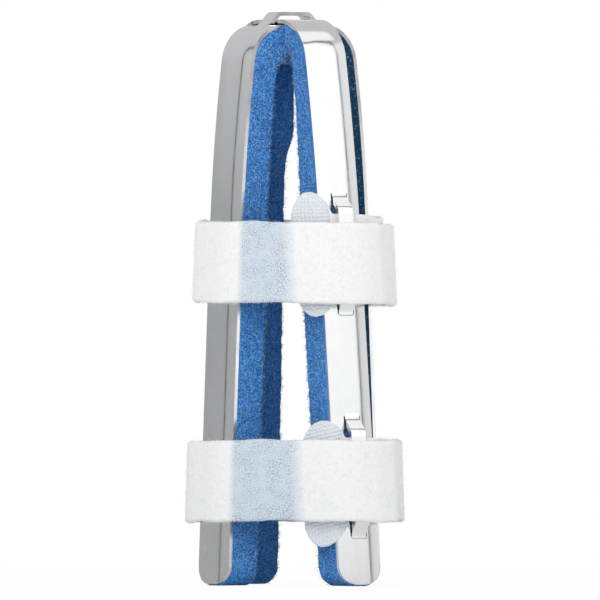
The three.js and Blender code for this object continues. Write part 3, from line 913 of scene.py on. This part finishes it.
def aluminium():
    """Bright rolled sheet: a soft mirror with fine lines along the strip and faint scuffs."""
    material, nodes = new_material("aluminium")
    place = nodes.place()
    grain = nodes.noise(nodes.scaled(nodes.along(), (1.2, 46, 1)), scale=2.0, detail=4)
    clouds = nodes.noise(place, scale=130, detail=3)
    specks = nodes.noise(place, scale=900, detail=2)
    nodes.look("Metallic", 1.0)
    dark = (0.84, 0.845, 0.85, 1)
    bright = (0.90, 0.90, 0.905, 1)
    colour = nodes.blend(nodes.ramp(clouds, 0.2, 0.5), dark, bright)
    gloss = nodes.ramp(grain, 0.3, 0.7, 0.10, 0.17)
    scuffs = nodes.ramp(specks, 0.66, 0.80, 0.0, 0.08)
    total = nodes.add("ShaderNodeMath", {0: gloss, 1: scuffs}, operation="ADD").outputs[0]
    nodes.surface(colour, roughness=total)
    rolled = nodes.bump(grain, strength=0.12, distance=0.00002)
    nodes.look("Normal", nodes.bump(clouds, strength=0.02, distance=0.0002, normal=rolled))
    return material


def foam():
    """Blue open-cell foam: lighter struts round dark pores, and painted shade that darkens it all over on
    the back right leg.
    """
    material, nodes = new_material("foam")
    place = nodes.place()
    wobble = nodes.add("ShaderNodeTexNoise", {"Vector": place, "Scale": 900, "Detail": 2}).outputs["Color"]
    shift = {0: wobble, 1: (0.00012, 0.00012, 0.00012), 2: place}
    bent = nodes.add("ShaderNodeVectorMath", shift, operation="MULTIPLY_ADD").outputs[0]
    open_cell = nodes.ramp(nodes.cells(bent, scale=3900), 0.2, 0.6)
    clouds = nodes.noise(place, scale=420, detail=3)
    deep = (0.022, 0.10, 0.38, 1)
    strut = (0.14, 0.47, 0.95, 1)
    body = nodes.blend(open_cell, deep, strut)
    dull = (0.025, 0.155, 0.56, 1)
    bright = (0.06, 0.28, 0.80, 1)
    even = nodes.blend(nodes.ramp(clouds, 0.3, 0.7), dull, bright)
    glints = nodes.ramp(nodes.cells(place, scale=2600), 0.16, 0.30, 0.75, 0.0)
    blue = nodes.blend(glints, nodes.blend(0.55, even, body), (0.42, 0.70, 0.95, 1))
    # painted shade: past this place along x, the foam of the back right leg is darkened all over
    side = nodes.add("ShaderNodeSeparateXYZ", {"Vector": place}).outputs["X"]
    painted_shade_share = nodes.ramp(side, 0.0045, 0.0065)
    painted_shade_colour = (0.012, 0.06, 0.13, 1)
    nodes.surface(nodes.blend(painted_shade_share, blue, painted_shade_colour), roughness=0.85, specular=0.15)
    nodes.look("Normal", nodes.bump(open_cell, strength=0.9, distance=0.00025))
    return material


def foam_strand():
    """The torn cell walls that stand out of the foam, blue with pale specks painted on as highlights."""
    material, nodes = new_material("foam_strand")
    painted_highlight_spots = nodes.noise(nodes.place(), scale=1500, detail=1)
    blue = (0.06, 0.24, 0.56, 1)
    # pale: painted highlight on the torn cell walls
    pale = (0.52, 0.77, 0.94, 1)
    nodes.surface(nodes.blend(nodes.ramp(painted_highlight_spots, 0.35, 0.6), blue, pale), roughness=0.6)
    return material


def painted_light_through_knit(nodes, uv):
    """Painted light and shade for a white knit in front of the foam: a pale blue that paints the foam's
    blue light coming through the knit, and painted shade, the dark of the shaded foam, seen through fine
    holes in clumps.
    """
    holes = nodes.scaled(uv, (31, 31, 1))
    clumps = nodes.ramp(nodes.noise(holes, scale=0.16, detail=2), 0.35, 0.62, 0.15, 0.9)
    round_holes = nodes.ramp(nodes.dots(holes, randomness=0.9), 0.12, 0.42, 1.0, 0.0)
    # painted light: the foam's blue light coming through the white knit
    painted_blue_light = (0.68, 0.755, 0.84, 1)
    # painted shade: the dark of the shaded foam seen through the holes
    behind = (0.24, 0.31, 0.41, 1)
    return nodes.blend(nodes.times(round_holes, clumps), painted_blue_light, behind)


def fleece(name, tint, shade, window=None):
    """Brushed loop fabric: a fine fleecy pile over a knit. Along window, from and to in millimetres,
    painted light tints the knit with the foam's blue light coming through it, and painted shade shows
    faintly as the dark shaded foam in its fine holes."""
    material, nodes = new_material(name)
    uv = nodes.along()
    tufts = nodes.noise(nodes.place(), scale=1900, detail=3)
    wales = nodes.noise(nodes.scaled(uv, (20, 9, 1)), scale=1.0, detail=2)
    colour = nodes.blend(nodes.ramp(tufts, 0.25, 0.48), shade, tint)
    if window:
        along = nodes.add("ShaderNodeSeparateXYZ", {"Vector": uv}).outputs["X"]
        start, end = (place / UV_UNIT for place in window)
        entering = nodes.ramp(along, start + 0.10, start + 0.20)
        leaving = nodes.ramp(along, end - 0.10, end + 0.12, 1.0, 0.0)
        # painted light and shade along the window
        colour = nodes.blend(nodes.times(entering, leaving), colour, painted_light_through_knit(nodes, uv))
    nodes.surface(colour, roughness=0.95, specular=0.2)
    nodes.look("Sheen Weight", 0.25)
    let_light_in(nodes, 0.3)
    knitted = nodes.bump(wales, strength=0.5, distance=0.0002)
    nodes.look("Normal", nodes.bump(tufts, strength=0.7, distance=0.0002, normal=knitted))
    return material


def hook_tape():
    """Moulded hook tape: rows of small hooks over a pale backing."""
    material, nodes = new_material("hook_tape")
    rows = nodes.scaled(nodes.along(), (17, 17, 1))
    hooks = nodes.ramp(nodes.dots(rows, randomness=0.25), 0.12, 0.5, 1.0, 0.0)
    backing = (0.77, 0.82, 0.89, 1)
    hook = (0.93, 0.95, 0.98, 1)
    nodes.surface(nodes.blend(hooks, backing, hook), roughness=0.6)
    let_light_in(nodes, 0.2)
    nodes.look("Normal", nodes.bump(hooks, strength=0.8, distance=0.0002))
    return material


# Pieces

metal = aluminium()
foam_blue = foam()
foam_torn = foam_strand()
strap_fibre = fleece("fibre", FIBRE_TINT, FIBRE_SHADE)
hook_white = hook_tape()


def settle(piece, node):
    """Rides a piece on the frame in place of a CAD node."""
    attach(piece, "root")
    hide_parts(node)


def make_strips():
    crossing = [(0.0, CROSSING_LENGTH, CROSSING_RAMP, CROSSING_RISE)]
    strip_a = Strip(FACES["front_left"], FACES["back_right"], STRIP_WIDTH, crossing, 0)
    strip_b = Strip(FACES["front_right"], FACES["back_left"], CROSSING_WAIST, strap_bridges(), 1)
    settle(strip_a.build("aluminium_strip_a", metal), "strip_a")
    settle(strip_b.build("aluminium_strip_b", metal), "strip_b")


def make_foam():
    for pad in FOAM_PADS:
        piece, points, normals, free = foam_piece(pad)
        settle(piece, pad["node"])
        roots, directions = scattered(points, normals, free, pad["cells"], pad["seed"])
        torn = strands(piece.name + "_cells", roots, directions, TORN_CELLS, foam_torn, pad["seed"])
        settle(torn, pad["node"])


def make_straps():
    for row in STRAPS:
        node, seed = row["name"], row["seed"]
        path = StrapPath(row)
        neck = row["paddle"]
        fabric = fleece(node + "_fleece", FLEECE_TINT, FLEECE_SHADE, path.window)
        ends = (neck - NECK_LAP, path.whole)
        band, points, normals = strap_piece(node + "_band", path, *ends, BAND_FORM, fabric, seed)
        settle(band, node)
        roots, directions = scattered(points, normals, np.ones(len(points)), NAP_COUNT, seed)
        nap = strands(node + "_nap", roots, directions, NAP, strap_fibre, seed)
        settle(nap, node)
        paddle, _, _ = strap_piece(node + "_paddle", path, 0, neck, PADDLE_FORM, hook_white, seed + 1)
        settle(paddle, node)


# Studio

FLOOR_SHADOW = 0.05  # how much of the floor's own shade the camera sees
FLOOR_RADIUS = 12.0
FLOOR_SIDES = 48
FLOOR_GAP = 0.00005  # the floor lies this far below the soles
SHADOW_START = 0.05  # the seen shadow fades out between these distances from the splint
SHADOW_END = 0.22
SKY_LEVEL = 0.30  # strength of the world's light from the side, which grows to SKY_HIGH at SKY_RISE
SKY_HIGH = 0.58
SKY_RISE = 0.19
LIGHT_DISTANCE = 0.8
CORNERS = [(-0.5, -0.5), (0.5, -0.5), (0.5, 0.5), (-0.5, 0.5)]
AIM_UP = 0.045

# Panels of light. swing and height say where they stand, span and rise how many degrees they take up,
# and rim how wide a black rim they have, which the metal reflects as a dark line
PANELS = [
    {"name": "key", "swing": 29.5, "height": 26.5, "span": 45, "rise": 44, "radiance": 0.56, "rim": 0.055},
    {"name": "upper", "swing": 24, "height": 63, "span": 66, "rise": 22, "radiance": 0.42, "rim": 0},
    {"name": "side", "swing": -15, "height": 18.5, "span": 34, "rise": 39, "radiance": 0.29, "rim": 0},
    {"name": "front", "swing": 108, "height": 30, "span": 36, "rise": 36, "radiance": 2.6, "rim": 0},
    {"name": "low", "swing": 16, "height": 0.5, "span": 20, "rise": 5, "radiance": 0.46, "rim": 0},
]
CARD = {"name": "left_card", "swing": 188, "height": 12, "span": 3, "rise": 60}

TURN = math.radians(VIEW_AZIMUTH)
CLIMB = math.radians(VIEW_ELEVATION)
LEVEL = math.cos(CLIMB)
VIEW_BACK = Vector((math.sin(TURN) * LEVEL, -math.cos(TURN) * LEVEL, math.sin(CLIMB)))
VIEW_RIGHT = Vector((math.cos(TURN), math.sin(TURN), 0))
VIEW_TOWARDS = Vector((VIEW_BACK.x, VIEW_BACK.y, 0)).normalized()


def in_view(right, towards, up):
    """A place in metres from the splint's axis: to the picture's right, towards the camera, and up."""
    return AXIS + VIEW_RIGHT * right + VIEW_TOWARDS * towards + Vector((0, 0, up))


def make_camera():
    data = bpy.data.cameras.new("camera")
    data.sensor_width = SENSOR
    data.lens = SENSOR * VIEW_DISTANCE / (FRAME_WIDTH * MM)
    data.clip_start = 0.05
    data.clip_end = 30
    camera = new_object("camera", data)
    aim = in_view(FRAME_CENTRE_RIGHT * MM, 0, FRAME_CENTRE_UP * MM)
    stand(camera, aim + VIEW_BACK * VIEW_DISTANCE, -VIEW_BACK)
    bpy.context.scene.camera = camera


def stand(thing, place, looking):
    """Puts an object at a place, with its -Z along a direction."""
    thing.location = place
    thing.rotation_mode = "QUATERNION"
    thing.rotation_quaternion = looking.to_track_quat("-Z", "Y")


def face_splint(thing, place):
    stand(thing, place, in_view(0, 0, AIM_UP) - place)


def at_swing(swing, height):
    """A place at LIGHT_DISTANCE. swing is degrees round from the right of the picture towards the
    camera, and height is degrees above the level of the splint's middle."""
    level = LIGHT_DISTANCE * math.cos(math.radians(height))
    right, towards = level * math.cos(math.radians(swing)), level * math.sin(math.radians(swing))
    return in_view(right, towards, AIM_UP + LIGHT_DISTANCE * math.sin(math.radians(height)))


def size_of(degrees):
    """The size of something that spans so many degrees at LIGHT_DISTANCE."""
    return 2 * LIGHT_DISTANCE * math.tan(math.radians(degrees / 2))


def rectangle(width, tall):
    return [(x * width, y * tall, 0) for x, y in CORNERS]


def panel(name, swing, height, span, rise, radiance, rim):
    """A rectangular light facing the splint, span by rise in degrees, with a black rim of a width."""
    width, tall = size_of(span), size_of(rise)
    data = bpy.data.lights.new(name, "AREA")
    data.shape = "RECTANGLE"
    data.size = width
    data.size_y = tall
    data.energy = radiance * math.pi * width * tall
    light = new_object(name, data)
    place = at_swing(swing, height)
    face_splint(light, place)
    light.visible_camera = False
    if rim:
        points = rectangle(width, tall) + rectangle(width + 2 * rim, tall + 2 * rim)
        faces = [(i, (i + 1) % 4, 4 + (i + 1) % 4, 4 + i) for i in range(4)]
        black_sheet(name + "_rim", place, points, faces)


def card(name, swing, height, span, rise):
    """A black card placed as a panel is, for the metal to reflect as a dark line."""
    points = rectangle(size_of(span), size_of(rise))
    black_sheet(name, at_swing(swing, height), points, [(0, 1, 2, 3)])


def black_sheet(name, place, points, faces):
    """Black faces facing the splint, seen only in reflections."""
    mesh = bpy.data.meshes.new(name)
    mesh.from_pydata(points, [], faces)
    material, nodes = new_material(name)
    nodes.surface((0.004, 0.004, 0.004, 1), roughness=1.0, specular=0.0)
    mesh.materials.append(material)
    sheet = new_object(name, mesh)
    face_splint(sheet, place)
    sheet.visible_camera = False
    sheet.visible_diffuse = False
    sheet.visible_shadow = False


def make_floor():
    """A white floor that catches the splint's shadow and clears to plain white further out."""
    mesh = bpy.data.meshes.new("floor")
    angles = [2 * math.pi * i / FLOOR_SIDES for i in range(FLOOR_SIDES)]
    ring = [(math.cos(a) * FLOOR_RADIUS, math.sin(a) * FLOOR_RADIUS, -FLOOR_GAP) for a in angles]
    mesh.from_pydata(ring, [], [tuple(range(FLOOR_SIDES))])
    material, nodes = new_material("floor")
    away = nodes.add("ShaderNodeVectorMath", {0: nodes.place()}, operation="LENGTH").outputs["Value"]
    nodes.surface((0.90, 0.90, 0.90, 1), roughness=1.0, specular=0.0)
    glow = nodes.add("ShaderNodeEmission", {"Color": (1, 1, 1, 1), "Strength": 1.0})
    seen = nodes.add("ShaderNodeLightPath").outputs["Is Camera Ray"]
    near = nodes.ramp(away, SHADOW_START, SHADOW_END, 1.0, 0.0)
    faint = nodes.ramp(seen, 0, 1, 1.0, FLOOR_SHADOW)
    plain = nodes.ramp(nodes.times(near, faint), 0, 1, 1.0, 0.0)
    both = nodes.add("ShaderNodeMixShader", {0: plain, 1: nodes.shader.outputs[0], 2: glow.outputs[0]})
    nodes.set(material.node_tree.nodes["Material Output"], "Surface", both.outputs[0])
    mesh.materials.append(material)
    new_object("floor", mesh)


def make_world():
    """Soft grey light from all round, dimmer towards the horizon. The camera sees plain white behind
    the splint."""
    world = bpy.data.worlds.new("studio")
    world.use_nodes = True
    world.node_tree.nodes.clear()
    nodes = Nodes(world.node_tree)
    direction = nodes.add("ShaderNodeTexCoord").outputs["Generated"]
    upwards = nodes.add("ShaderNodeSeparateXYZ", {"Vector": direction}).outputs["Z"]
    strength = nodes.ramp(upwards, 0.0, SKY_RISE, SKY_LEVEL, SKY_HIGH)
    around = nodes.add("ShaderNodeBackground", {"Color": (0.98, 0.99, 1.0, 1), "Strength": strength})
    white = nodes.add("ShaderNodeBackground", {"Color": (1, 1, 1, 1), "Strength": 1.0})
    seen = nodes.add("ShaderNodeLightPath").outputs["Is Camera Ray"]
    both = nodes.add("ShaderNodeMixShader", {0: seen, 1: around.outputs[0], 2: white.outputs[0]})
    nodes.add("ShaderNodeOutputWorld", {"Surface": both.outputs[0]})
    bpy.context.scene.world = world


def make_lights():
    for row in PANELS:
        panel(**row)
    card(**CARD)


make_camera()
make_strips()
make_foam()
make_straps()
make_floor()
make_world()
make_lights()
bpy.context.scene.view_settings.view_transform = "Standard"
